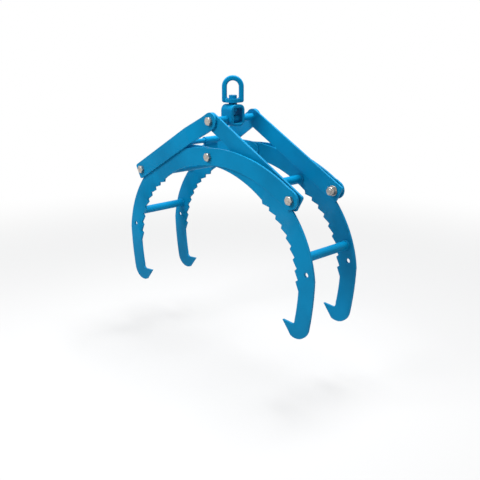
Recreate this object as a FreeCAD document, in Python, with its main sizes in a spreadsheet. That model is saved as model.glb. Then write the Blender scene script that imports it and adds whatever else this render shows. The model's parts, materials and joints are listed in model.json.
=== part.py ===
import FreeCAD, Part
import math
import os

import Sketcher

SIZES = {
    # lifting eye
    "eye_width": 52.0,
    "eye_window_width": 28.0,
    "eye_window_height": 42.0,
    "eye_floor": 9.0,
    "eye_depth": 14.0,
    "eye_rounding": 4.0,
    "eye_corner": 5.0,
    "eye_window_corner": 5.0,
    "eye_boss_radius": 19.0,
    "eye_turn": 45.0,
    # swivel
    "swivel_gap": 0.3,
    "thrust_washer_radius": 10.0,
    "thrust_washer_height": 3.7,
    "pin_radius": 6.0,
    "pin_head_radius": 9.5,
    "pin_head_height": 8.0,
    "pin_stub": 2.0,
    "swivel_nut_radius": 9.8,
    "swivel_nut_height": 8.0,
    # yoke
    "yoke_width": 44.0,
    "yoke_height": 51.0,
    "yoke_length": 38.0,
    "yoke_side_wall": 8.0,
    "yoke_top_wall": 8.0,
    "yoke_floor": 7.0,
    "yoke_corner": 14.0,
    "yoke_window_corner": 4.0,
    "yoke_chamfer": 1.5,
    "yoke_boss_radius": 9.5,
    "shaft_rise": 16.0,
    # linkage
    "link_rise": 83.0,
    "shoulder_reach": 260.0,
    "shoulder_drop": 62.0,
    # layers, from the middle plane outwards
    "inner_half_width": 64.7,
    "plate_thickness": 5.0,
    "link_thickness": 5.0,
    "side_gap": 0.3,
    # links
    "link_width": 40.0,
    "link_tail": 19.0,
    "link_corner": 5.0,
    "joggle_start": 22.0,
    "joggle_length": 58.0,
    # jaw arm
    "boss_radius": 25.0,
    "arm_top_angle": 80.0,
    "arm_under_angle": 66.0,
    "arm_top_radius": 420.0,
    "arm_under_radius": 360.0,
    "crown_height": 21.0,
    "crown_radius": 402.0,
    "arch_depth": 20.0,
    "arch_radius": 316.6,
    # jaw back
    "back_start_gap": 35.0,
    "back_start_rise": 17.0,
    "back_bend_radius": 263.0,
    "back_radius": 700.0,
    "back_length": 114.0,
    "back_flare": 12.0,
    "heel_run": 51.0,
    "heel_rise": 27.0,
    "heel_radius": 36.5,
    # hook
    "chin_run": 24.0,
    "chin_fall": 20.0,
    "nose_height": 11.5,
    "nose_lean": 5.0,
    "nose_radius": 6.5,
    "hook_run": 20.0,
    "hook_fall": 2.0,
    "throat_run": 10.0,
    "throat_rise": 10.5,
    "throat_radius": 9.0,
    "mouth_height": 69.0,
    "mouth_lean": 9.0,
    "mouth_radius": 500.0,
    "mouth_step": 8.875,
    "mouth_fall": 20.43,
    "brow_step": 1.5,
    "brow_rise": 8.0,
    # teeth
    "bite_reach": 86.5,
    "bite_fall": 191.5,
    "bite_radius": 190.0,
    "tooth_depth": 6.5,
    "tooth_pitch": 7.4,
    "tooth_lean": 1.46,
    "tooth_land": 0.2,
    "first_tooth_angle": 62.8,
    "tooth_gaps": 8,
    # cross tubes
    "tube_radius": 10.5,
    "tube_wall": 3.0,
    "upper_tube_reach": 155.0,
    "upper_tube_fall": 31.0,
    "lower_tube_inset": 31.0,
    "lower_tube_rise": 46.0,
    # lower holes
    "lower_hole_radius": 5.5,
    "lower_hole_inset": 22.0,
    "lower_hole_rise": 11.0,
    # fasteners
    "bolt_radius": 6.0,
    "bore_clearance": 0.08,
    "across_flats": 18.0,
    "head_height": 7.5,
    "nut_height": 10.8,
    "washer_radius": 12.0,
    "washer_thickness": 2.5,
    "centre_disc_radius": 20.0,
    "centre_disc_thickness": 3.0,
    "centre_play": 5.0,
    "thread_stub": 2.7,
    "thread_taper": 1.5,
    "sleeve_radius": 9.0,
    "cut_margin": 1.0,
    "hex_crown_radius": 8.5,
    "shoulder_spacer_radius": 10.0,
    # latch
    "latch_bar_radius": 6.0,
    "latch_reach": 83.0,
    "latch_rise": 25.0,
    "latch_lug_radius": 10.0,
    "latch_width": 40.0,
    "latch_sleeve_radius": 9.0,
    "latch_length": 52.0,
    "latch_thickness": 5.0,
    "latch_toe": 12.0,
    "latch_lean": 8.0,
}

UP = FreeCAD.Vector(0, 0, 1)
FRONT = -1
REAR = 1
SIDES = (FRONT, REAR)
OUTWARD = 1
INWARD = -1
RIGHT_ANGLE = 90.0
HALF_TURN = 180.0
HEX_ANGLE = 30.0
HEX_SIDES = 6
SQUARE_TOLERANCE = 1e-6

document = FreeCAD.newDocument("LogGrapple")
sheet = document.addObject("Spreadsheet::Sheet", "Sizes")
for row, (alias, number) in enumerate(SIZES.items(), start=1):
    sheet.set(f"A{row}", alias)
    sheet.set(f"B{row}", str(number))
    sheet.setAlias(f"B{row}", alias)
document.recompute()


class Size:
    """A value together with its formula on the sheet."""

    def __init__(self, value, text):
        self.value = value
        self.text = text

    def __add__(self, other):
        return Size(self.value + size(other).value, f"({self.text} + {size(other).text})")

    def __sub__(self, other):
        return Size(self.value - size(other).value, f"({self.text} - {size(other).text})")

    def __mul__(self, other):
        return Size(self.value * size(other).value, f"({self.text} * {size(other).text})")

    def __truediv__(self, other):
        return Size(self.value / size(other).value, f"({self.text} / {size(other).text})")

    def __neg__(self):
        return self * -1

    def sine(self):
        return Size(math.sin(math.radians(self.value)), f"sin({self.text})")

    def cosine(self):
        return Size(math.cos(math.radians(self.value)), f"cos({self.text})")


def size(item):
    """A sheet alias or a plain number as a Size."""
    if isinstance(item, Size):
        return item
    if isinstance(item, str):
        return Size(float(getattr(sheet, item)), f"Sizes.{item}")
    return Size(float(item), f"({float(item)})")


def hypotenuse(across, up):
    return Size(math.hypot(across.value, up.value), f"sqrt({across.text} ^ 2 + {up.text} ^ 2)")


def slope(across, up):
    """The angle of a right triangle's long side above the horizontal."""
    return Size(math.degrees(math.atan(up.value / across.value)), f"(atan({up.text} / {across.text}) / 1 deg)")


ZERO = Size(0.0, "0")

# heights below the inside top of the eye, which is the origin
eye_floor_top = -size("eye_window_height")
eye_bottom = eye_floor_top - "eye_floor"
thrust_top = eye_bottom - "swivel_gap"
yoke_top = thrust_top - "thrust_washer_height"
shaft_height = yoke_top - "yoke_height" + "shaft_rise"
centre_height = shaft_height - "link_rise"
shoulder_height = centre_height - "shoulder_drop"

# faces of the four layers, measured from the middle plane
inner_link_in = size("inner_half_width")
inner_link_out = inner_link_in + "link_thickness"
inner_jaw_in = inner_link_out + "side_gap"
inner_jaw_out = inner_jaw_in + "plate_thickness"
outer_jaw_in = inner_jaw_out + "side_gap"
outer_jaw_out = outer_jaw_in + "plate_thickness"
outer_link_in = outer_jaw_out + "side_gap"
outer_link_out = outer_link_in + "link_thickness"

bolt_bore = size("bolt_radius") + "bore_clearance"
pin_bore = size("pin_radius") + "bore_clearance"
latch_bore = size("latch_bar_radius") + "bore_clearance"
link_run = size("shoulder_reach")
link_fall = size("link_rise") + "shoulder_drop"
link_length = hypotenuse(link_run, link_fall)
link_angle = slope(link_run, link_fall)


def bind(item, name, amount):
    item.setExpression(name, size(amount).text)


def place(item, across, along, up):
    """Hold a piece's Placement at its distances from the origin."""
    for axis, amount in zip("xyz", (across, along, up)):
        bind(item, f"Placement.Base.{axis}", amount)


def turn(item, axis, angle):
    """Turn a piece about an axis by an angle from the sheet."""
    item.Placement = FreeCAD.Placement(item.Placement.Base, FreeCAD.Rotation(axis, angle.value))
    bind(item, "Placement.Rotation.Angle", angle)


def new_body(name):
    body = document.addObject("PartDesign::Body", name)
    body.Label = name
    return body


def new_sketch(body, name, role):
    """An empty sketch on one of the body's own origin planes."""
    sketch = body.newObject("Sketcher::SketchObject", name)
    for feature in body.Origin.OriginFeatures:
        if feature.Role == role:
            sketch.AttachmentSupport = (feature, [""])
    sketch.MapMode = "FlatFace"
    return sketch


def hold(sketch, edge, end, across, up):
    """Tie a sketch point to its distances from the sketch's origin."""
    for kind, axis, amount in (("DistanceX", -2, across), ("DistanceY", -1, up)):
        if amount is ZERO:
            sketch.addConstraint(Sketcher.Constraint("PointOnObject", edge, end, axis))
        else:
            rule = Sketcher.Constraint(kind, -1, 1, edge, end, amount.value)
            number = sketch.addConstraint(rule)
            sketch.setExpression(f"Constraints[{number}]", amount.text)


def draw_circle(sketch, across, up, radius):
    centre = FreeCAD.Vector(across.value, up.value, 0)
    edge = sketch.addGeometry(Part.Circle(centre, UP, radius.value), False)
    hold(sketch, edge, 3, across, up)
    number = sketch.addConstraint(Sketcher.Constraint("Radius", edge, radius.value))
    sketch.setExpression(f"Constraints[{number}]", radius.text)


def arc_between(start, end, radius):
    """The short arc between two points, clockwise for a positive radius."""
    chord = end - start
    side = FreeCAD.Vector(chord.y, -chord.x, 0).normalize() * math.copysign(1.0, radius)
    rise = math.sqrt(radius ** 2 - (chord.Length / 2) ** 2)
    centre = (start + end) / 2 + side * rise
    angles = [math.atan2(point.y - centre.y, point.x - centre.x) for point in (start, end)]
    if radius > 0:
        angles.reverse()
    return Part.ArcOfCircle(Part.Circle(centre, UP, abs(radius)), angles[0], angles[1])


def draw_loop(sketch, stops):
    """A closed outline through (across, up, bend): a bend is the signed radius to the next point."""
    points = [FreeCAD.Vector(across.value, up.value, 0) for across, up, bend in stops]
    edges = []
    for index, (across, up, bend) in enumerate(stops):
        start = points[index]
        end = points[(index + 1) % len(points)]
        if bend is None:
            edges.append((sketch.addGeometry(Part.LineSegment(start, end), False), 1, 2))
            continue
        edge = sketch.addGeometry(arc_between(start, end, bend.value), False)
        edges.append((edge, 2, 1) if bend.value > 0 else (edge, 1, 2))
    for index, (across, up, bend) in enumerate(stops):
        edge, first, last = edges[index]
        next_edge, next_first, next_last = edges[(index + 1) % len(edges)]
        sketch.addConstraint(Sketcher.Constraint("Coincident", edge, last, next_edge, next_first))
        hold(sketch, edge, first, across, up)
        if bend is not None:
            number = sketch.addConstraint(Sketcher.Constraint("Radius", edge, abs(bend.value)))
            sketch.setExpression(f"Constraints[{number}]", bend.text if bend.value > 0 else (-bend).text)


def pad_both_ways(body, sketch, name, thickness):
    pad = body.newObject("PartDesign::Pad", name)
    pad.Profile = sketch
    pad.SideType = "Symmetric"
    bind(pad, "Length", thickness)
    return pad


def cut_through(body, sketch, name):
    pocket = body.newObject("PartDesign::Pocket", name)
    pocket.Profile = sketch
    pocket.SideType = "Symmetric"
    pocket.Type = "ThroughAll"
    return pocket


def flat_faces(base, axis):
    """The names of the flat faces that look along an axis."""
    document.recompute()
    names = []
    for number, face in enumerate(base.Shape.Faces, start=1):
        if isinstance(face.Surface, Part.Plane) and face.Surface.Axis.cross(axis).Length < SQUARE_TOLERANCE:
            names.append(f"Face{number}")
    return names


def step(point, across, up):
    """A point at a short distance from another."""
    return point[0] + across, point[1] + up


def jaw_points():
    """Named points of a jaw with its hook at the right, from the centre pivot."""
    last_angle = size("first_tooth_angle") - size("tooth_pitch") * "tooth_gaps"
    spots = {"first_tip": bite_point(size("bite_radius"), size("first_tooth_angle"))}
    spots["last_tip"] = bite_point(size("bite_radius"), last_angle)
    spots["brow"] = step(spots["first_tip"], -size("brow_step"), "brow_rise")
    spots["mouth"] = step(spots["last_tip"], "mouth_step", -size("mouth_fall"))
    spots["throat_end"] = step(spots["mouth"], -size("mouth_lean"), -size("mouth_height"))
    spots["throat"] = step(spots["throat_end"], -size("throat_run"), -size("throat_rise"))
    spots["nose_high"] = step(spots["throat"], -size("hook_run"), "hook_fall")
    spots["nose_low"] = step(spots["nose_high"], -size("nose_lean"), -size("nose_height"))
    spots["chin"] = step(spots["nose_low"], "chin_run", -size("chin_fall"))
    spots["heel"] = step(spots["chin"], "heel_run", "heel_rise")
    spots["back"] = step(spots["heel"], "back_flare", "back_length")
    return spots


def jaw_outline(spots):
    """The outline of a jaw plate as stops with the bend to the next stop."""
    shoulder_across = -size("shoulder_reach")
    shoulder_up = -size("shoulder_drop")
    boss = size("boss_radius")
    back_start = (
        size("shoulder_reach") - "shoulder_spacer_radius" - "back_start_gap",
        shoulder_up + "back_start_rise",
    )
    return [
        (shoulder_across - boss, shoulder_up, boss),
        (
            shoulder_across + boss * size("arm_top_angle").cosine(),
            shoulder_up + boss * size("arm_top_angle").sine(),
            size("arm_top_radius"),
        ),
        (ZERO, size("crown_height"), size("crown_radius")),
        (*back_start, size("back_bend_radius")),
        (*spots["back"], size("back_radius")),
        (*spots["heel"], size("heel_radius")),
        (*spots["chin"], None),
        (*spots["nose_low"], size("nose_radius")),
        (*spots["nose_high"], None),
        (*spots["throat"], -size("throat_radius")),
        (*spots["throat_end"], -size("mouth_radius")),
        (*spots["mouth"], None),
        (*spots["last_tip"], -size("bite_radius")),
        (*spots["first_tip"], None),
        (*spots["brow"], -size("arch_radius")),
        (ZERO, -size("arch_depth"), -size("arm_under_radius")),
        (
            shoulder_across + boss * size("arm_under_angle").cosine(),
            shoulder_up - boss * size("arm_under_angle").sine(),
            boss,
        ),
    ]


def bite_point(radius, angle):
    """A point at an angle round the middle of the toothed edge."""
    across = size("bite_reach") + radius * angle.cosine()
    up = radius * angle.sine() - "bite_fall" - "shoulder_drop"
    return across, up


def cut_teeth(body, name):
    """Saw teeth: one notch, repeated round the middle of the toothed edge."""
    sketch = new_sketch(body, name + "_notch_sketch", "XZ_Plane")
    bind(sketch, "AttachmentOffset.Base.x", "bite_reach")
    bind(sketch, "AttachmentOffset.Base.y", -(size("bite_fall") + "shoulder_drop"))
    tip = size("bite_radius")
    root = tip + "tooth_depth"
    upper_angle = size("first_tooth_angle") - "tooth_land"
    lower_angle = size("first_tooth_angle") - "tooth_pitch" + "tooth_land"
    root_angle = size("first_tooth_angle") - "tooth_pitch" + "tooth_lean"
    corners = ((tip, upper_angle), (root, root_angle), (tip, lower_angle))
    draw_loop(sketch, [(radius * angle.cosine(), radius * angle.sine(), None) for radius, angle in corners])
    notch = cut_through(body, sketch, name + "_notch")
    pattern = body.newObject("PartDesign::PolarPattern", name + "_teeth")
    pattern.Originals = [notch]
    pattern.Axis = (sketch, ["N_Axis"])
    pattern.Reversed = True
    bind(pattern, "Angle", size("tooth_pitch") * (size("tooth_gaps") - 1))
    bind(pattern, "Occurrences", "tooth_gaps")
    body.Tip = pattern


def jaw_plate(name, middle, side, centre_bore, hook_side, lug):
    """One jaw plate; the outer jaws are the same plate turned half round."""
    body = new_body(name)
    sketch = new_sketch(body, name + "_sketch", "XZ_Plane")
    spots = jaw_points()
    draw_loop(sketch, jaw_outline(spots))
    pad_both_ways(body, sketch, name + "_plate", "plate_thickness")
    if lug:
        lug_sketch = new_sketch(body, name + "_lug_sketch", "XZ_Plane")
        draw_circle(lug_sketch, -size("latch_reach"), size("latch_rise"), size("latch_lug_radius"))
        pad_both_ways(body, lug_sketch, name + "_lug", "plate_thickness")
    holes = new_sketch(body, name + "_hole_sketch", "XZ_Plane")
    draw_circle(holes, ZERO, ZERO, centre_bore)
    draw_circle(holes, -size("shoulder_reach"), -size("shoulder_drop"), bolt_bore)
    lower_hole = step(spots["back"], -size("lower_hole_inset"), "lower_hole_rise")
    draw_circle(holes, *lower_hole, size("lower_hole_radius"))
    cut_through(body, holes, name + "_holes")
    cut_teeth(body, name)
    if hook_side < 0:
        body.Placement = FreeCAD.Placement(FreeCAD.Vector(), FreeCAD.Rotation(UP, HALF_TURN))
    place(body, ZERO, middle * side, centre_height)


def link_outline(sketch):
    """A bar with a round top end at the origin and a square end past the shoulder."""
    half = size("link_width") / 2
    corner = size("link_corner")
    end = link_length + "link_tail"
    draw_loop(sketch, [
        (-half, ZERO, half),
        (ZERO, half, None),
        (end - corner, half, corner),
        (end, half - corner, None),
        (end, corner - half, corner),
        (end - corner, -half, None),
        (ZERO, -half, half),
    ])


def finish_link(body, name, along, angle):
    """Bore a link for its two bolts and hang it from the cross bolt."""
    holes = new_sketch(body, name + "_hole_sketch", "XZ_Plane")
    draw_circle(holes, ZERO, ZERO, bolt_bore)
    draw_circle(holes, link_length, ZERO, bolt_bore)
    cut_through(body, holes, name + "_holes")
    turn(body, FreeCAD.Vector(0, 1, 0), angle)
    place(body, ZERO, along, shaft_height)


def inner_link(name, side):
    """A flat link, next to the sleeves, that carries the outer jaws."""
    body = new_body(name)
    sketch = new_sketch(body, name + "_sketch", "XZ_Plane")
    link_outline(sketch)
    pad_both_ways(body, sketch, name + "_bar", "link_thickness")
    middle = inner_link_in + size("link_thickness") / 2
    finish_link(body, name, middle * side, link_angle)


def outer_link(name, side):
    """A joggled link: its top lies on the inner link and its foot outside the jaws."""
    body = new_body(name)
    strip = new_sketch(body, name + "_strip_sketch", "XY_Plane")
    top_in = inner_link_out + "side_gap"
    start = size("joggle_start")
    foot = start + "joggle_length"
    tail = link_length + "link_tail"
    half = size("link_width") / 2
    near = [(-half, top_in), (start, top_in), (foot, outer_link_in), (tail, outer_link_in)]
    far = [(across, along + "link_thickness") for across, along in reversed(near)]
    stops = [(across, along * side, None) for across, along in near + far]
    draw_loop(strip, stops)
    pad_both_ways(body, strip, name + "_strip", "link_width")
    blank = new_sketch(body, name + "_trim_sketch", "XZ_Plane")
    link_outline(blank)
    margin = size("cut_margin")
    frame = [
        (-half - margin, -half - margin, None),
        (tail + margin, -half - margin, None),
        (tail + margin, half + margin, None),
        (-half - margin, half + margin, None),
    ]
    draw_loop(blank, frame)
    cut_through(body, blank, name + "_trim")
    finish_link(body, name, ZERO, size(HALF_TURN) - link_angle)


def cross_tube(name, half_length, across, up):
    """A pipe between the two plates of a jaw, square on their inner faces."""
    body = new_body(name)
    sketch = new_sketch(body, name + "_sketch", "XZ_Plane")
    draw_circle(sketch, ZERO, ZERO, size("tube_radius"))
    draw_circle(sketch, ZERO, ZERO, size("tube_radius") - "tube_wall")
    pad_both_ways(body, sketch, name + "_pipe", half_length * 2)
    place(body, across, ZERO, centre_height + up)


def aim(item, side, start, way):
    """Stand a turned piece along Y, from a distance off the middle plane."""
    axis = FreeCAD.Vector(1, 0, 0)
    item.Placement = FreeCAD.Placement(FreeCAD.Vector(), FreeCAD.Rotation(axis, -RIGHT_ANGLE * side * way))
    bind(item, "Placement.Base.y", start * side)


def rod(name, radius, near, far, side):
    """A cylinder along Y between two distances from the middle plane."""
    cylinder = document.addObject("Part::Cylinder", name)
    bind(cylinder, "Radius", radius)
    bind(cylinder, "Height", far - near)
    aim(cylinder, side, near, OUTWARD)
    return cylinder


def joined(kind, name, base, tool):
    item = document.addObject(kind, name)
    item.Base = base
    item.Tool = tool
    return item


def ring(name, radius, bore, near, far, side):
    """A washer or a spacer along Y."""
    outside = rod(name + "_outside", size(radius), near, far, side)
    inside = rod(name + "_bore", bore, near - "cut_margin", far + "cut_margin", side)
    return joined("Part::Cut", name, outside, inside)


def hexagon(name, start, height, side, way):
    """A hexagon block whose far corners are turned off."""
    prism = document.addObject("Part::Prism", name + "_prism")
    prism.Polygon = HEX_SIDES
    bind(prism, "Circumradius", size("across_flats") / 2 / size(HEX_ANGLE).cosine())
    bind(prism, "Height", height)
    aim(prism, side, start, way)
    cone = document.addObject("Part::Cone", name + "_crown")
    bind(cone, "Radius1", size("hex_crown_radius") + height * size(HEX_ANGLE).cosine() / size(HEX_ANGLE).sine())
    bind(cone, "Radius2", "hex_crown_radius")
    bind(cone, "Height", height)
    aim(cone, side, start, way)
    return joined("Part::Common", name, prism, cone)


def bolt(name, seat, end, side):
    """A hexagon bolt from under its head, outside, to its end further in."""
    head = hexagon(name + "_head", seat, size("head_height"), side, OUTWARD)
    taper = size("thread_taper")
    shank = rod(name + "_shank", size("bolt_radius"), end + taper, seat, side)
    tip = document.addObject("Part::Cone", name + "_tip")
    bind(tip, "Radius1", "bolt_radius")
    bind(tip, "Radius2", size("bolt_radius") - taper)
    bind(tip, "Height", taper)
    aim(tip, side, end + taper, INWARD)
    whole = document.addObject("Part::MultiFuse", name)
    whole.Shapes = [head, shank, tip]
    return whole


def nut(name, seat, side, way):
    """A hexagon nut standing on its washer."""
    block = hexagon(name + "_block", seat, size("nut_height"), side, way)
    far = seat + size("nut_height") * way
    near, far = (seat, far) if way > 0 else (far, seat)
    bore = rod(name + "_bore", bolt_bore, near - "cut_margin", far + "cut_margin", side)
    return joined("Part::Cut", name, block, bore)


def group(name, pieces, across, up):
    """Alike pieces that share a node, at one pivot."""
    compound = document.addObject("Part::Compound", name)
    compound.Links = pieces
    place(compound, across, ZERO, up)


def pivot_fasteners(prefix, across, up, seat, washer_face):
    """Bolts, washers and nuts at one pivot, front and rear, heads outside."""
    bolts, washers, nuts = [], [], []
    washer_in = washer_face - "washer_thickness"
    end = washer_in - "nut_height" - "thread_stub"
    for side, word in zip(SIDES, ("front", "rear")):
        bolts.append(bolt(f"{prefix}_bolt_{word}", seat, end, side))
        washers.append(ring(f"{prefix}_washer_{word}", "washer_radius", bolt_bore, washer_in, washer_face, side))
        nuts.append(nut(f"{prefix}_nut_{word}", washer_in, side, INWARD))
    group(prefix + "_bolts", bolts, across, up)
    group(prefix + "_washers", washers, across, up)
    group(prefix + "_nuts", nuts, across, up)


def spacer_pair(name, radius, near, far, across, up):
    pieces = [ring(f"{name}_{word}", radius, bolt_bore, near, far, side)
              for side, word in zip(SIDES, ("front", "rear"))]
    group(name, pieces, across, up)


def rounded_top(half, window_bottom, corner):
    """An outline with a round top at the origin's height less its half width, and small lower corners."""
    return [
        (-half, window_bottom + corner, None),
        (-half, ZERO, half),
        (ZERO, half, half),
        (half, ZERO, None),
        (half, window_bottom + corner, corner),
        (half - corner, window_bottom, None),
        (corner - half, window_bottom, corner),
    ]


def lifting_eye():
    """A forged eye over a round boss that the swivel pin passes through."""
    body = new_body("lifting_eye")
    half = size("eye_width") / 2
    window_half = size("eye_window_width") / 2
    window_floor = window_half - "eye_window_height"
    sketch = new_sketch(body, "eye_sketch", "XZ_Plane")
    draw_loop(sketch, rounded_top(half, window_floor - "eye_floor", size("eye_corner")))
    draw_loop(sketch, rounded_top(window_half, window_floor, size("eye_window_corner")))
    ring_pad = pad_both_ways(body, sketch, "eye_ring", "eye_depth")
    fillet = body.newObject("PartDesign::Fillet", "eye_fillet")
    fillet.Base = (ring_pad, flat_faces(ring_pad, FreeCAD.Vector(0, 1, 0)))
    bind(fillet, "Radius", "eye_rounding")
    boss_sketch = new_sketch(body, "eye_boss_sketch", "XY_Plane")
    bind(boss_sketch, "AttachmentOffset.Base.z", window_floor - "eye_floor")
    draw_circle(boss_sketch, ZERO, ZERO, size("eye_boss_radius"))
    boss = body.newObject("PartDesign::Pad", "eye_boss")
    boss.Profile = boss_sketch
    bind(boss, "Length", "eye_floor")
    bore_sketch = new_sketch(body, "eye_bore_sketch", "XY_Plane")
    draw_circle(bore_sketch, ZERO, ZERO, pin_bore)
    bore = body.newObject("PartDesign::Pocket", "eye_bore")
    bore.Profile = bore_sketch
    bind(bore, "Length", "eye_window_height")
    turn(body, UP, size("eye_turn"))
    place(body, ZERO, ZERO, -window_half)


def rounded_box(half_width, bottom, top, corner):
    return [
        (-half_width, bottom + corner, None),
        (-half_width, top - corner, corner),
        (corner - half_width, top, None),
        (half_width - corner, top, corner),
        (half_width, top - corner, None),
        (half_width, bottom + corner, corner),
        (half_width - corner, bottom, None),
        (corner - half_width, bottom, corner),
    ]


def swivel_yoke():
    """A closed frame that carries the cross bolt below and the swivel pin above."""
    body = new_body("swivel_yoke")
    half = size("yoke_width") / 2
    bottom = -size("shaft_rise")
    top = bottom + "yoke_height"
    sketch = new_sketch(body, "yoke_sketch", "YZ_Plane")
    draw_loop(sketch, rounded_box(half, bottom, top, size("yoke_corner")))
    window = rounded_box(
        half - "yoke_side_wall",
        bottom + "yoke_floor",
        top - "yoke_top_wall",
        size("yoke_window_corner"),
    )
    draw_loop(sketch, window)
    frame = pad_both_ways(body, sketch, "yoke_frame", "yoke_length")
    chamfer = body.newObject("PartDesign::Chamfer", "yoke_edges")
    chamfer.Base = (frame, flat_faces(frame, FreeCAD.Vector(1, 0, 0)))
    bind(chamfer, "Size", "yoke_chamfer")
    boss_sketch = new_sketch(body, "yoke_boss_sketch", "XZ_Plane")
    draw_circle(boss_sketch, ZERO, ZERO, size("yoke_boss_radius"))
    pad_both_ways(body, boss_sketch, "yoke_boss", size("yoke_width") - "yoke_side_wall")
    shaft_sketch = new_sketch(body, "yoke_shaft_sketch", "XZ_Plane")
    draw_circle(shaft_sketch, ZERO, ZERO, bolt_bore)
    cut_through(body, shaft_sketch, "yoke_shaft_bore")
    pin_sketch = new_sketch(body, "yoke_pin_sketch", "XY_Plane")
    draw_circle(pin_sketch, ZERO, ZERO, pin_bore)
    pin_hole = body.newObject("PartDesign::Pocket", "yoke_pin_bore")
    pin_hole.Profile = pin_sketch
    pin_hole.Reversed = True
    bind(pin_hole, "Length", "yoke_height")
    place(body, ZERO, ZERO, shaft_height)


def post(name, radius, bottom, top):
    """An upright cylinder on the swivel's axis."""
    cylinder = document.addObject("Part::Cylinder", name)
    bind(cylinder, "Radius", radius)
    bind(cylinder, "Height", top - bottom)
    place(cylinder, ZERO, ZERO, bottom)
    return cylinder


def swivel_parts():
    """Headed pin through the eye, its washer, and the nut under the yoke's top wall."""
    wall_bottom = yoke_top - "yoke_top_wall"
    nut_bottom = wall_bottom - "swivel_nut_height"
    head_bottom = eye_floor_top + "swivel_gap"
    shank = post("pin_shank", "pin_radius", nut_bottom - "pin_stub", head_bottom)
    head = post("pin_head", "pin_head_radius", head_bottom, head_bottom + "pin_head_height")
    joined("Part::Fuse", "swivel_pin", shank, head)
    block = post("nut_outside", "swivel_nut_radius", nut_bottom, wall_bottom)
    bore = post("nut_bore", pin_bore, nut_bottom - "cut_margin", wall_bottom + "cut_margin")
    joined("Part::Cut", "swivel_nut", block, bore)
    washer = post("thrust_outside", "thrust_washer_radius", yoke_top, thrust_top)
    bore = post("thrust_bore", pin_bore, yoke_top - "cut_margin", thrust_top + "cut_margin")
    joined("Part::Cut", "thrust_washer", washer, bore)


def cross_bolt_set():
    """The long bolt through the yoke and the tops of all four links."""
    seat = inner_link_out + "side_gap" + "link_thickness" + "side_gap"
    washer_out = seat + "washer_thickness"
    end = washer_out + "nut_height" + "thread_stub"
    group("cross_bolt", [bolt("long_bolt", seat, -end, FRONT)], ZERO, shaft_height)
    group("cross_washer", [ring("long_washer", "washer_radius", bolt_bore, seat, washer_out, REAR)],
          ZERO, shaft_height)
    group("cross_nut", [nut("long_nut", washer_out, REAR, OUTWARD)], ZERO, shaft_height)
    spacer_pair("cross_sleeves", "sleeve_radius", size("yoke_width") / 2 + "side_gap",
                inner_link_in - "side_gap", ZERO, shaft_height)


def latch():
    """A bar across the inner jaws and the hooked plate that swings on it."""
    bar = document.addObject("Part::Cylinder", "latch_bar")
    bind(bar, "Radius", "latch_bar_radius")
    bind(bar, "Height", inner_jaw_in * 2)
    aim(bar, REAR, -inner_jaw_in, OUTWARD)
    place(bar, -size("latch_reach"), -inner_jaw_in, centre_height + "latch_rise")
    body = new_body("latch_plate")
    sleeve_sketch = new_sketch(body, "latch_sleeve_sketch", "XZ_Plane")
    draw_circle(sleeve_sketch, ZERO, ZERO, size("latch_sleeve_radius"))
    pad_both_ways(body, sleeve_sketch, "latch_sleeve", "latch_width")
    blade_sketch = new_sketch(body, "latch_blade_sketch", "XZ_Plane")
    half = size("latch_thickness") / 2
    thick = size("latch_thickness")
    bottom = -size("latch_length")
    toe_end = size("latch_toe") - half
    draw_loop(blade_sketch, [
        (-half, -half, None),
        (half, -half, None),
        (half, bottom + thick, None),
        (toe_end, bottom + thick, None),
        (toe_end, bottom, None),
        (half, bottom, thick),
        (-half, bottom + thick, None),
    ])
    pad_both_ways(body, blade_sketch, "latch_blade", "latch_width")
    bore_sketch = new_sketch(body, "latch_bore_sketch", "XZ_Plane")
    draw_circle(bore_sketch, ZERO, ZERO, latch_bore)
    cut_through(body, bore_sketch, "latch_bore")
    turn(body, FreeCAD.Vector(0, -1, 0), size("latch_lean"))
    place(body, -size("latch_reach"), ZERO, centre_height + "latch_rise")


def jaws():
    """Inner jaws hook at the right and outer jaws at the left; tubes join front to rear."""
    inner_middle = inner_jaw_in + size("plate_thickness") / 2
    outer_middle = outer_jaw_in + size("plate_thickness") / 2
    loose_bore = size("bolt_radius") + "centre_play"
    for side, word in zip(SIDES, ("front", "rear")):
        jaw_plate(f"inner_jaw_{word}", inner_middle, side, loose_bore, 1, True)
        jaw_plate(f"outer_jaw_{word}", outer_middle, side, bolt_bore, -1, False)
    tubes = {
        "upper": (size("upper_tube_reach"), -(size("arch_depth") + "upper_tube_fall")),
        "lower": step(jaw_points()["back"], -size("lower_tube_inset"), "lower_tube_rise"),
    }
    for level, (reach, up) in tubes.items():
        cross_tube(f"inner_{level}_tube", inner_jaw_in, reach, up)
        cross_tube(f"outer_{level}_tube", outer_jaw_in, -reach, up)


def links():
    for side, word in zip(SIDES, ("front", "rear")):
        inner_link(f"inner_link_{word}", side)
        outer_link(f"outer_link_{word}", side)


def shoulders_and_centre():
    """Bolts of the two shoulders and of the crossing of the jaws."""
    reach = size("shoulder_reach")
    pivot_fasteners("outer_link", -reach, shoulder_height, outer_link_out, inner_jaw_in - "side_gap")
    spacer_pair("outer_link_spacers", "shoulder_spacer_radius", inner_jaw_out + "side_gap",
                outer_link_in, -reach, shoulder_height)
    pivot_fasteners("inner_link", reach, shoulder_height, outer_jaw_out + "side_gap", inner_link_in)
    spacer_pair("inner_link_spacers", "shoulder_spacer_radius", inner_link_out,
                outer_jaw_in - "side_gap", reach, shoulder_height)
    disc_out = inner_jaw_in - "side_gap"
    disc_in = disc_out - "centre_disc_thickness"
    bolts = [bolt(f"centre_bolt_{word}", outer_jaw_out, disc_in, side)
             for side, word in zip(SIDES, ("front", "rear"))]
    group("centre_bolts", bolts, ZERO, centre_height)
    spacer_pair("centre_discs", "centre_disc_radius", disc_in, disc_out, ZERO, centre_height)


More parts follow.
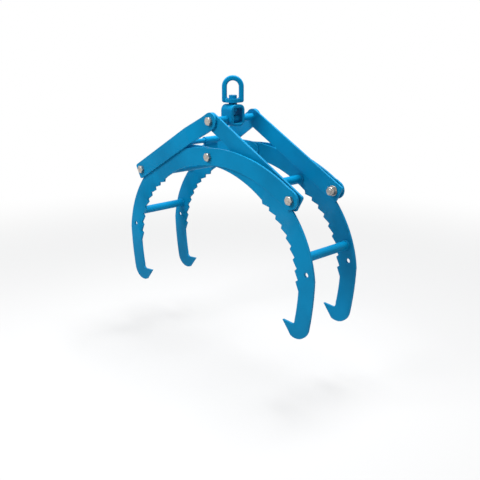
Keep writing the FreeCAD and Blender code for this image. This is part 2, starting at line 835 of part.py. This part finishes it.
lifting_eye()
swivel_yoke()
swivel_parts()
cross_bolt_set()
links()
shoulders_and_centre()
jaws()
latch()
document.recompute()

NODES = ["lifting_eye", "swivel_yoke", "swivel_pin", "swivel_nut", "thrust_washer"]
NODES += ["cross_bolt", "cross_washer", "cross_nut", "cross_sleeves", "centre_bolts", "centre_discs",
          "latch_bar", "latch_plate"]
NODES += [f"{layer}_{piece}_{word}" for layer in ("inner", "outer") for piece in ("link", "jaw")
          for word in ("front", "rear")]
NODES += [f"{layer}_{level}_tube" for layer in ("inner", "outer") for level in ("upper", "lower")]
NODES += [f"{layer}_link_spacers" for layer in ("inner", "outer")]
NODES += [f"{pivot}_{piece}" for pivot in ("inner_link", "outer_link")
          for piece in ("bolts", "nuts", "washers")]

for item in document.Objects:
    if "Invalid" in item.State or "Error" in item.State:
        raise RuntimeError(f"{item.Name} did not build: {item.State}")

os.makedirs("parts", exist_ok=True)
for node in NODES:
    piece = document.getObject(node)
    if piece.Shape.isNull() or not piece.Shape.isValid():
        raise RuntimeError(f"{node} has no sound shape")
    piece.Label = node
    piece.Shape.exportStep(os.path.join("parts", node + ".step"))
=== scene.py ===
# %% [markdown]
# A log grapple: two pairs of curved steel jaws, cut from plate, hang from four flat links that
# meet under a swivelling eye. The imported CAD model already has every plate, bolt and tube, so
# the scene loads it first and keeps its box, and everything after this dresses that frame.

# %% Load the frame
import json
import math

import bmesh
import bpy
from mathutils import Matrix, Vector


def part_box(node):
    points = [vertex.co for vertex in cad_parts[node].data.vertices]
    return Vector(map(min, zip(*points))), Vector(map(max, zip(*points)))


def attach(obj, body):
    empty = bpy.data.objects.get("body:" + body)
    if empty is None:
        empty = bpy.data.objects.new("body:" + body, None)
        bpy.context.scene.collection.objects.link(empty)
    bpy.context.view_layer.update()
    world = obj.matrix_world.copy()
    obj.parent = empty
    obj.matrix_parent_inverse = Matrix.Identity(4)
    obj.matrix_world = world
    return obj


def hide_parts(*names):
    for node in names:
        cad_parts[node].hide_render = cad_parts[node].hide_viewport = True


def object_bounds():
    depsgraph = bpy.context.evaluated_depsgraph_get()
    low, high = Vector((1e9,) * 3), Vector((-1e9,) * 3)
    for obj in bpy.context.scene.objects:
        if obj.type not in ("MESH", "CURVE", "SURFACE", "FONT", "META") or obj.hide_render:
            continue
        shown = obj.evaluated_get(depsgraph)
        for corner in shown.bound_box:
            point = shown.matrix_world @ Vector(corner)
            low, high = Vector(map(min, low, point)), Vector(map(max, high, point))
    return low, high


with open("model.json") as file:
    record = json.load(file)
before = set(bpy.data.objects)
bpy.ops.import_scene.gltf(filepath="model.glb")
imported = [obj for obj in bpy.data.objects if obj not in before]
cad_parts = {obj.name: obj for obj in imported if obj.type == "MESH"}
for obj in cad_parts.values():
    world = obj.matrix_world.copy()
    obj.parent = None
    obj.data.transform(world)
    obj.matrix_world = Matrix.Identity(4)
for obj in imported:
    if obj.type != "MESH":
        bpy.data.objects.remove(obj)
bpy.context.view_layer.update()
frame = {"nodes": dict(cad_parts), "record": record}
scene = bpy.context.scene

# %% [markdown]
# A finish is a small network of shader nodes. Each helper below adds the few nodes of one step,
# such as noise, a change between two colours, a mask of the edges or a bump, and hands on their
# output, so that each recipe further down reads as a list of steps.

# %% Helpers for finishes
EDGE_SAMPLES = 6
# the cosine between the rounded and the true normal, where an edge starts and where it is full
EDGE_STARTS = 0.985
EDGE_IS_FULL = 0.80


def start_finish(name):
    """A new material, its node tree and its Principled shader."""
    finish = bpy.data.materials.new(name)
    finish.use_nodes = True
    return finish, finish.node_tree, finish.node_tree.nodes["Principled BSDF"]


def add_node(tree, kind, **settings):
    node = tree.nodes.new(kind)
    for key, value in settings.items():
        setattr(node, key, value)
    return node


def noise(tree, scale, detail, roughness=0.5):
    """Cloudy noise on the object's own coordinates, its scale in waves a metre."""
    place = add_node(tree, "ShaderNodeTexCoord")
    cloud = add_node(tree, "ShaderNodeTexNoise")
    cloud.inputs["Scale"].default_value = scale
    cloud.inputs["Detail"].default_value = detail
    cloud.inputs["Roughness"].default_value = roughness
    tree.links.new(place.outputs["Object"], cloud.inputs["Vector"])
    return cloud.outputs["Fac"]


def along_y(tree):
    """The distance along Y, in metres, from the middle plane of the grapple."""
    place = add_node(tree, "ShaderNodeTexCoord")
    axes = add_node(tree, "ShaderNodeSeparateXYZ")
    tree.links.new(place.outputs["Object"], axes.inputs[0])
    return axes.outputs["Y"]


def magnitude(tree, source):
    """A number without its sign."""
    unsigned = add_node(tree, "ShaderNodeMath", operation="ABSOLUTE")
    tree.links.new(source, unsigned.inputs[0])
    return unsigned.outputs[0]


def compare(tree, operation, source, limit):
    """One where a number is above, or below, a limit."""
    test = add_node(tree, "ShaderNodeMath", operation=operation)
    test.inputs[1].default_value = limit
    tree.links.new(source, test.inputs[0])
    return test.outputs[0]


def combine(tree, operation, first, second):
    """Two numbers put together, as by MULTIPLY or MAXIMUM."""
    result = add_node(tree, "ShaderNodeMath", operation=operation)
    tree.links.new(first, result.inputs[0])
    tree.links.new(second, result.inputs[1])
    return result.outputs[0]


def ramp(tree, source, low, high, start, end):
    """Two colours spread between two levels of a grey source."""
    band = add_node(tree, "ShaderNodeValToRGB")
    band.color_ramp.elements[0].position = start
    band.color_ramp.elements[0].color = low
    band.color_ramp.elements[1].position = end
    band.color_ramp.elements[1].color = high
    tree.links.new(source, band.inputs["Fac"])
    return band.outputs["Color"]


def spread(tree, source, low, high):
    """A grey source moved to lie between two numbers."""
    moved = add_node(tree, "ShaderNodeMapRange")
    moved.inputs["To Min"].default_value = low
    moved.inputs["To Max"].default_value = high
    tree.links.new(source, moved.inputs["Value"])
    return moved.outputs["Result"]


def tinted(tree, amount, base, tint):
    """A base colour that turns towards a fixed tint where the amount is high."""
    mixer = add_node(tree, "ShaderNodeMix", data_type="RGBA")
    mixer.inputs[7].default_value = tint
    tree.links.new(amount, mixer.inputs[0])
    tree.links.new(base, mixer.inputs[6])
    return mixer.outputs[2]


def rounded_normal(tree, radius):
    """The normal as if every edge were broken by a small radius."""
    bevel = add_node(tree, "ShaderNodeBevel", samples=EDGE_SAMPLES)
    bevel.inputs["Radius"].default_value = radius
    return bevel.outputs["Normal"]


def edge_mask(tree, normal):
    """One on a broken edge and nought on a flat face."""
    shape = add_node(tree, "ShaderNodeNewGeometry")
    dot = add_node(tree, "ShaderNodeVectorMath", operation="DOT_PRODUCT")
    tree.links.new(normal, dot.inputs[0])
    tree.links.new(shape.outputs["Normal"], dot.inputs[1])
    rise = add_node(tree, "ShaderNodeMapRange")
    rise.inputs["From Min"].default_value = EDGE_STARTS
    rise.inputs["From Max"].default_value = EDGE_IS_FULL
    tree.links.new(dot.outputs["Value"], rise.inputs["Value"])
    return rise.outputs["Result"]


def bump(tree, height, distance, strength, normal):
    """A normal disturbed by a grey height, on top of another normal."""
    relief = add_node(tree, "ShaderNodeBump")
    relief.inputs["Distance"].default_value = distance
    relief.inputs["Strength"].default_value = strength
    tree.links.new(height, relief.inputs["Height"])
    tree.links.new(normal, relief.inputs["Normal"])
    return relief.outputs["Normal"]

# %% [markdown]
# The blue is a powder coat: one strong colour that flows a little into an orange-peel surface
# and turns a lighter blue over every broken edge, partly where the coat thins and partly as a
# painted highlight that stands in for the bright lines light draws along the edges. An image
# could hold that, but noise needs no picture, so the colour varies slowly over a hand's width,
# the gloss over a few millimetres, and the bump finest of all.
# The plates are cut by a flame or a beam, which leaves fine lines across their thickness. Noise
# that is drawn out along Y makes them, and a mask keeps them off the flat faces.

# %% Blue powder coat
PAINT_BODY = (0.0, 0.225, 0.455, 1.0)
PAINT_DEEP = (0.0, 0.178, 0.368, 1.0)
# the lighter blue of the broken edges: thinner coat there, and a painted highlight of the light
# along them
PAINT_EDGE_HIGHLIGHT = (0.060, 0.430, 0.720, 1.0)
PAINT_SHINE = 0.07
PAINT_ROUGHNESS = (0.34, 0.50)
EDGE_BREAK = 0.0012
# how far the broken edges turn to that painted highlight blue
EDGE_HIGHLIGHT_SHARE = 0.6
# scales of the noise, from the slow changes of tone to the lines of the cut
TONE_SCALE = 9.0
WAVE_SCALE = 45.0
GLOSS_SCALE = 160.0
PEEL_SCALE = 900.0
LINE_SCALE = 1400.0
LINE_DRAW = 0.02
# heights of the bumps, in metres
WAVE_HEIGHT = 0.0004
PEEL_HEIGHT = 0.0001
LINE_HEIGHT = 0.0002
# a face with less than this share of its normal along Y is a cut one
CUT_FACE = 0.3


def cut_lines(tree):
    """Fine lines along Y, only on faces that don't look along Y."""
    place = add_node(tree, "ShaderNodeTexCoord")
    drawn_out = add_node(tree, "ShaderNodeMapping")
    drawn_out.inputs["Scale"].default_value = (1.0, LINE_DRAW, 1.0)
    tree.links.new(place.outputs["Object"], drawn_out.inputs["Vector"])
    lines = add_node(tree, "ShaderNodeTexNoise")
    lines.inputs["Scale"].default_value = LINE_SCALE
    lines.inputs["Detail"].default_value = 2.0
    tree.links.new(drawn_out.outputs["Vector"], lines.inputs["Vector"])
    facing = add_node(tree, "ShaderNodeSeparateXYZ")
    tree.links.new(place.outputs["Normal"], facing.inputs[0])
    sideways = compare(tree, "LESS_THAN", magnitude(tree, facing.outputs["Y"]), CUT_FACE)
    return combine(tree, "MULTIPLY", lines.outputs["Fac"], sideways)


def powder_coat():
    finish, tree, shader = start_finish("blue_powder_coat")
    rounded = rounded_normal(tree, EDGE_BREAK)
    tone = ramp(tree, noise(tree, TONE_SCALE, 3.0), PAINT_DEEP, PAINT_BODY, 0.30, 0.62)
    # broken edges are tinted lighter: a painted highlight along every edge, on top of the thinner
    # coat there
    edges = spread(tree, edge_mask(tree, rounded), 0.0, EDGE_HIGHLIGHT_SHARE)
    tree.links.new(tinted(tree, edges, tone, PAINT_EDGE_HIGHLIGHT), shader.inputs["Base Color"])
    gloss = spread(tree, noise(tree, GLOSS_SCALE, 4.0), *PAINT_ROUGHNESS)
    tree.links.new(gloss, shader.inputs["Roughness"])
    waves = bump(tree, noise(tree, WAVE_SCALE, 2.0), WAVE_HEIGHT, 0.35, rounded)
    peel = bump(tree, noise(tree, PEEL_SCALE, 2.0), PEEL_HEIGHT, 0.30, waves)
    lines = bump(tree, cut_lines(tree), LINE_HEIGHT, 0.35, peel)
    tree.links.new(lines, shader.inputs["Normal"])
    shader.inputs["Specular IOR Level"].default_value = PAINT_SHINE
    return finish


blue_paint = powder_coat()
print("finish", blue_paint.name)

# %% [markdown]
# Bolts, nuts and washers are zinc plated steel. Plating is a metal with a soft, cloudy gloss and
# warm patches. The bolts show a little thread past their nuts. A wave along Y with the pitch of a
# coarse thread is enough for that, kept to the ends of the bolts. The two centre bolts end flush
# in their discs and were painted over with them, so their inner ends turn blue.

# %% Zinc plate
ZINC_BRIGHT = (0.56, 0.52, 0.47, 1.0)
ZINC_DULL = (0.33, 0.31, 0.29, 1.0)
ZINC_ROUGHNESS = (0.22, 0.48)
PATCH_SCALE = 220.0
ZINC_GLOSS_SCALE = 500.0
GRAIN_SCALE = 1500.0
GRAIN_HEIGHT = 0.0001
THREAD_PITCH = 0.00175
THREAD_HEIGHT = 0.0008
# a band texture of scale one repeats after this length
BAND_LENGTH = math.pi / 10
# along Y, from the middle plane: where the shoulder bolts' threads and the centre bolts' paint
# end, and where the cross bolt's thread starts
STUB_FAR = 0.0565
PAINTED_END = 0.0735
CROSS_STUB_NEAR = 0.0888


def thread_relief(tree):
    """Ridges round the bolts' ends: inside the shoulder nuts and outside the cross nut."""
    place = add_node(tree, "ShaderNodeTexCoord")
    ridges = add_node(tree, "ShaderNodeTexWave", wave_type="BANDS", bands_direction="Y")
    ridges.inputs["Scale"].default_value = BAND_LENGTH / THREAD_PITCH
    tree.links.new(place.outputs["Object"], ridges.inputs["Vector"])
    along = along_y(tree)
    inner = compare(tree, "LESS_THAN", magnitude(tree, along), STUB_FAR)
    outer = compare(tree, "GREATER_THAN", along, CROSS_STUB_NEAR)
    ends = combine(tree, "MAXIMUM", inner, outer)
    return combine(tree, "MULTIPLY", ridges.outputs["Fac"], ends)


def zinc_plate(name, painted_ends):
    """Plated steel, either with threaded ends or with painted ones."""
    finish, tree, shader = start_finish(name)
    rounded = rounded_normal(tree, EDGE_BREAK / 2)
    patches = noise(tree, PATCH_SCALE, 5.0, 0.6)
    plating = ramp(tree, patches, ZINC_DULL, ZINC_BRIGHT, 0.35, 0.65)
    grain = bump(tree, noise(tree, GRAIN_SCALE, 2.0), GRAIN_HEIGHT, 0.25, rounded)
    gloss = spread(tree, noise(tree, ZINC_GLOSS_SCALE, 3.0), *ZINC_ROUGHNESS)
    tree.links.new(gloss, shader.inputs["Roughness"])
    if painted_ends:
        paint = compare(tree, "LESS_THAN", magnitude(tree, along_y(tree)), PAINTED_END)
        tree.links.new(tinted(tree, paint, plating, PAINT_BODY), shader.inputs["Base Color"])
        tree.links.new(spread(tree, paint, 1.0, 0.0), shader.inputs["Metallic"])
        tree.links.new(grain, shader.inputs["Normal"])
    else:
        tree.links.new(plating, shader.inputs["Base Color"])
        shader.inputs["Metallic"].default_value = 1.0
        threads = bump(tree, thread_relief(tree), THREAD_HEIGHT, 0.9, grain)
        tree.links.new(threads, shader.inputs["Normal"])
    return finish


zinc = zinc_plate("bright_zinc", False)
centre_zinc = zinc_plate("bright_zinc_painted_end", True)
FINISHES = {"blue_paint": blue_paint, "zinc": zinc}
for part in frame["record"]["subparts"]:
    node = frame["nodes"][part["node"]]
    node.data.materials.clear()
    finish = centre_zinc if part["node"] == "centre_bolts" else FINISHES[part["material_slot"]]
    node.data.materials.append(finish)

# %% [markdown]
# The hooks of the real jaws end in a sharp point and the plates close tightly round the shoulder
# bolts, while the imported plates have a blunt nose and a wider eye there. Each plate is copied,
# the loose triangles of the copy are merged, and only those two places are drawn together, so
# the teeth and bores stay exactly where the frame has them.

# %% Pointed jaw plates
MERGE_DISTANCE = 0.00001
PLATE_SMOOTHING = math.radians(30)
# X and Z of the blunt nose's middle and of the point that it is drawn to
NOSE_MIDDLE = (0.2435, -0.5183)
HOOK_POINT = (0.2405, -0.5125)
NOSE_REACH = 0.0075
NOSE_SHRINK = 0.09
# X and Z of the shoulder bolt, and the rim of the eye round it
SHOULDER = (0.260, -0.235)
WIDE_EYE = 0.0250
EYE_EDGE = 0.0006
# the eye's rim is drawn in by less and less where it runs out into the arm: for the angles to
# either side of its axis, in degrees, the distance that it is drawn to
EYE_AXIS = -7.0
EYE_STEPS = (
    (0.0, 78.0, 0.0205),
    (78.0, 86.0, 0.0211),
    (86.0, 94.0, 0.0222),
    (94.0, 103.0, 0.0237),
)
# each plate's body, and the side that its hook is on
JAW_PLATES = {
    "inner_jaw_front": ("inner_jaws", 1),
    "inner_jaw_rear": ("inner_jaws", 1),
    "outer_jaw_front": ("outer_jaws", -1),
    "outer_jaw_rear": ("outer_jaws", -1),
}


def only(piece):
    """Select one object and make it the active one."""
    bpy.ops.object.select_all(action="DESELECT")
    piece.select_set(True)
    bpy.context.view_layer.objects.active = piece


def select_round(piece, middle, distances, side=1, turns=(0.0, 360.0)):
    """Select the vertices of the mesh being edited that lie in a ring sector of the XZ plane."""
    mesh = bmesh.from_edit_mesh(piece.data)
    count = 0
    for vertex in mesh.verts:
        across, up = side * (vertex.co.x - middle[0]), vertex.co.z - middle[1]
        turn = abs(math.degrees(math.atan2(up, across)) - EYE_AXIS)
        in_ring = distances[0] <= math.hypot(across, up) <= distances[1]
        vertex.select_set(in_ring and turns[0] <= turn < turns[1])
        count += vertex.select
    mesh.select_flush(True)
    bmesh.update_edit_mesh(piece.data)
    return count


def draw_together(share, centre):
    """Bring the selected points to a share of their distance from a centre in the XZ plane."""
    middle = (centre[0], 0.0, centre[1])
    bpy.ops.transform.resize(value=(share, 1.0, share), center_override=middle)


def pointed_jaw(node_name, hook_side):
    """A copy of a jaw plate with a pointed hook and, at its other end, a closer eye."""
    plate = bpy.data.objects.new(f"pointed_{node_name}", frame["nodes"][node_name].data.copy())
    scene.collection.objects.link(plate)
    only(plate)
    bpy.ops.object.mode_set(mode="EDIT")
    bpy.ops.mesh.select_mode(type="VERT")
    bpy.ops.mesh.select_all(action="SELECT")
    bpy.ops.mesh.remove_doubles(threshold=MERGE_DISTANCE)
    nose = select_round(plate, (hook_side * NOSE_MIDDLE[0], NOSE_MIDDLE[1]), (0.0, NOSE_REACH))
    draw_together(NOSE_SHRINK, (hook_side * HOOK_POINT[0], HOOK_POINT[1]))
    shoulder = (-hook_side * SHOULDER[0], SHOULDER[1])
    rim = (WIDE_EYE - EYE_EDGE, WIDE_EYE + EYE_EDGE)
    eye = 0
    for first, last, radius in EYE_STEPS:
        eye += select_round(plate, shoulder, rim, -hook_side, (first, last))
        draw_together(radius / WIDE_EYE, shoulder)
    bpy.ops.mesh.select_all(action="DESELECT")
    bpy.ops.object.mode_set(mode="OBJECT")
    bpy.ops.object.shade_smooth_by_angle(angle=PLATE_SMOOTHING)
    print(plate.name, "nose points", nose, "eye points", eye)
    return plate


for node_name, (body_name, hook_side) in JAW_PLATES.items():
    plate = pointed_jaw(node_name, hook_side)
    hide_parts(node_name)
    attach(plate, body_name)

# %% [markdown]
# Each cross tube is welded all round to the inner faces of its two plates. A weld bead is a
# small ring with the ripples that the welder's hand leaves. A torus is a good start, because it
# already closes on itself, and every third ring is then swelled to make the ripples.

# %% Weld bead helpers
BEAD_RADIUS = 0.0019
BEAD_SIDES = 10
BEAD_SMOOTHING = math.radians(50)
RIPPLES = 28
RIPPLE_RINGS = 3
RIPPLE_SWELL = 0.28
RINGS = RIPPLES * RIPPLE_RINGS


def weld_bead(name, centre, radius):
    """A rippled ring round the Y axis, with its place applied to its mesh."""
    bpy.ops.object.select_all(action="DESELECT")
    bpy.ops.mesh.primitive_torus_add(
        major_segments=RINGS,
        minor_segments=BEAD_SIDES,
        major_radius=radius,
        minor_radius=BEAD_RADIUS,
        location=centre,
        rotation=(math.radians(90), 0, 0),
    )
    bead = bpy.context.object
    bead.name = name
    bpy.ops.object.transform_apply(location=False, rotation=True, scale=True)
    bpy.ops.object.mode_set(mode="EDIT")
    mesh = bmesh.from_edit_mesh(bead.data)
    step = 2 * math.pi / RINGS
    for vertex in mesh.verts:
        turn = round(math.atan2(vertex.co.z, vertex.co.x) / step)
        vertex.select_set(turn % RIPPLE_RINGS == 0)
    mesh.select_flush(False)
    bmesh.update_edit_mesh(bead.data)
    bpy.ops.transform.shrink_fatten(value=BEAD_RADIUS * RIPPLE_SWELL)
    bpy.ops.mesh.select_all(action="SELECT")
    bpy.ops.mesh.normals_make_consistent(inside=False)
    bpy.ops.object.mode_set(mode="OBJECT")
    only(bead)
    bpy.ops.object.transform_apply(location=True, rotation=True, scale=True)
    bpy.ops.object.shade_smooth_by_angle(angle=BEAD_SMOOTHING)
    bead.data.materials.append(blue_paint)
    return bead

# %% Weld beads on the tubes and the latch bar
TUBE_BEADS = {
    "inner_upper_tube": "inner_jaws",
    "inner_lower_tube": "inner_jaws",
    "outer_upper_tube": "outer_jaws",
    "outer_lower_tube": "outer_jaws",
    "latch_bar": "inner_jaws",
}
for node_name, body_name in TUBE_BEADS.items():
    low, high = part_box(node_name)
    across = (low[0] + high[0]) / 2
    up = (low[2] + high[2]) / 2
    radius = (high[0] - low[0]) / 2
    for side, along in (("front", low[1] + BEAD_RADIUS / 2), ("rear", high[1] - BEAD_RADIUS / 2)):
        bead = weld_bead(f"weld_{node_name}_{side}", (across, along, up), radius)
        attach(bead, body_name)
print("weld beads", len(TUBE_BEADS) * 2)

# %% [markdown]
# The stage is a pale floor under the hooks and a world that lights softly from all round. Light
# Path shows a white background to the camera and to the metal without lighting anything with it.
# The grapple hangs by its eye, and its hooks come down by 152 mm when the jaws close and rock, so
# the floor lies just below their lowest reach and never hides them.

# %% Stage
HOOK_TRAVEL = 0.154
FLOOR_SIZE = 40.0
floor_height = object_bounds()[0][2] - HOOK_TRAVEL
bpy.ops.object.select_all(action="DESELECT")
bpy.ops.mesh.primitive_plane_add(size=FLOOR_SIZE, location=(0, 0, floor_height))
floor = bpy.context.object
floor.name = "studio_floor"

SKY_COLOUR = (0.93, 0.96, 1.0, 1.0)
SKY_STRENGTH = 0.32
WHITE = (1.0, 1.0, 1.0, 1.0)


def seen_as_white(tree):
    """One for the rays that may meet plain white: camera, glossy and transmission rays."""
    rays = add_node(tree, "ShaderNodeLightPath").outputs
    either = combine(tree, "MAXIMUM", rays["Is Camera Ray"], rays["Is Glossy Ray"])
    return combine(tree, "MAXIMUM", either, rays["Is Transmission Ray"])


world = bpy.data.worlds.new("studio")
scene.world = world
world.use_nodes = True
sky_tree = world.node_tree
sky = sky_tree.nodes["Background"]
sky.inputs["Color"].default_value = SKY_COLOUR
sky.inputs["Strength"].default_value = SKY_STRENGTH
white = add_node(sky_tree, "ShaderNodeBackground")
white.inputs["Color"].default_value = WHITE
white.inputs["Strength"].default_value = 1.0
sky_mix = add_node(sky_tree, "ShaderNodeMixShader")
sky_tree.links.new(seen_as_white(sky_tree), sky_mix.inputs[0])
sky_tree.links.new(sky.outputs[0], sky_mix.inputs[1])
sky_tree.links.new(white.outputs[0], sky_mix.inputs[2])
sky_tree.links.new(sky_mix.outputs[0], sky_tree.nodes["World Output"].inputs["Surface"])

# %% [markdown]
# A lit floor greys towards its far edge. Here it fades into plain white with the distance from
# the grapple, for the camera and the metal alone, so that there is no horizon, and near the hooks
# enough of its own shade is kept to show the shadow.

# %% Floor finish
FLOOR_COLOUR = (0.62, 0.62, 0.62, 1.0)
FLOOR_ROUGHNESS = 0.8
FLOOR_SHINE = 0.1
# the share of plain white in the floor within the first distance, and the distance of full white
NEAR_WHITE = 0.45
CLEAR_RADIUS = 0.5
WHITE_RADIUS = 2.2
floor_finish, floor_tree, floor_shader = start_finish("pale_floor")
floor_shader.inputs["Base Color"].default_value = FLOOR_COLOUR
floor_shader.inputs["Roughness"].default_value = FLOOR_ROUGHNESS
floor_shader.inputs["Specular IOR Level"].default_value = FLOOR_SHINE
floor_place = add_node(floor_tree, "ShaderNodeTexCoord")
reach = add_node(floor_tree, "ShaderNodeVectorMath", operation="LENGTH")
floor_tree.links.new(floor_place.outputs["Object"], reach.inputs[0])
fade = add_node(floor_tree, "ShaderNodeMapRange", interpolation_type="SMOOTHSTEP")
fade.inputs["From Min"].default_value = CLEAR_RADIUS
fade.inputs["From Max"].default_value = WHITE_RADIUS
fade.inputs["To Min"].default_value = NEAR_WHITE
fade.inputs["To Max"].default_value = 1.0
floor_tree.links.new(reach.outputs["Value"], fade.inputs["Value"])
amount = combine(floor_tree, "MULTIPLY", fade.outputs["Result"], seen_as_white(floor_tree))
glow = add_node(floor_tree, "ShaderNodeEmission")
glow.inputs["Strength"].default_value = 1.0
floor_mix = add_node(floor_tree, "ShaderNodeMixShader")
floor_tree.links.new(amount, floor_mix.inputs[0])
floor_tree.links.new(floor_shader.outputs[0], floor_mix.inputs[1])
floor_tree.links.new(glow.outputs[0], floor_mix.inputs[2])
floor_tree.links.new(floor_mix.outputs[0], floor_tree.nodes["Material Output"].inputs["Surface"])
floor.data.materials.append(floor_finish)
print("floor at", round(floor_height, 4))

# %% [markdown]
# A lamp high at the front left lights the faces of the plates, one overhead gives their upper
# edges a bright line, and a weak one at the right keeps the edges on that side dark but clear.

# %% Lamps
UPPER = (0.0, 0.0, -0.17)


def lamp(name, place, size, power):
    """A soft square lamp that faces the upper part of the grapple."""
    data = bpy.data.lights.new(name, "AREA")
    data.size = size
    data.energy = power
    light = bpy.data.objects.new(name, data)
    scene.collection.objects.link(light)
    light.location = place
    light.rotation_euler = (Vector(UPPER) - Vector(place)).to_track_quat("-Z", "Y").to_euler()


lamp("key_lamp", (-0.35, -1.25, 0.85), size=0.9, power=20.0)
lamp("fill_lamp", (2.2, 0.3, 0.9), size=1.4, power=5.0)
lamp("top_lamp", (0.1, 0.2, 1.3), size=0.9, power=45.0)

# %% [markdown]
# The camera was placed by fitting the pivots and corners of the grapple to where they are seen:
# it stands at the front right, a little above the eye, and looks slightly down.

# %% Camera
CAMERA_PLACE = (1.1871, -1.1196, 0.0834)
CAMERA_FORWARD = (-0.6915, 0.6659, -0.2801)
CAMERA_LENS = 50.49
SENSOR_WIDTH = 36.0
camera_data = bpy.data.cameras.new("photo_view")
camera_data.lens = CAMERA_LENS
camera_data.sensor_width = SENSOR_WIDTH
camera = bpy.data.objects.new("photo_view", camera_data)
scene.collection.objects.link(camera)
camera.location = CAMERA_PLACE
camera.rotation_euler = Vector(CAMERA_FORWARD).to_track_quat("-Z", "Y").to_euler()
scene.camera = camera
scene.view_settings.view_transform = "Standard"
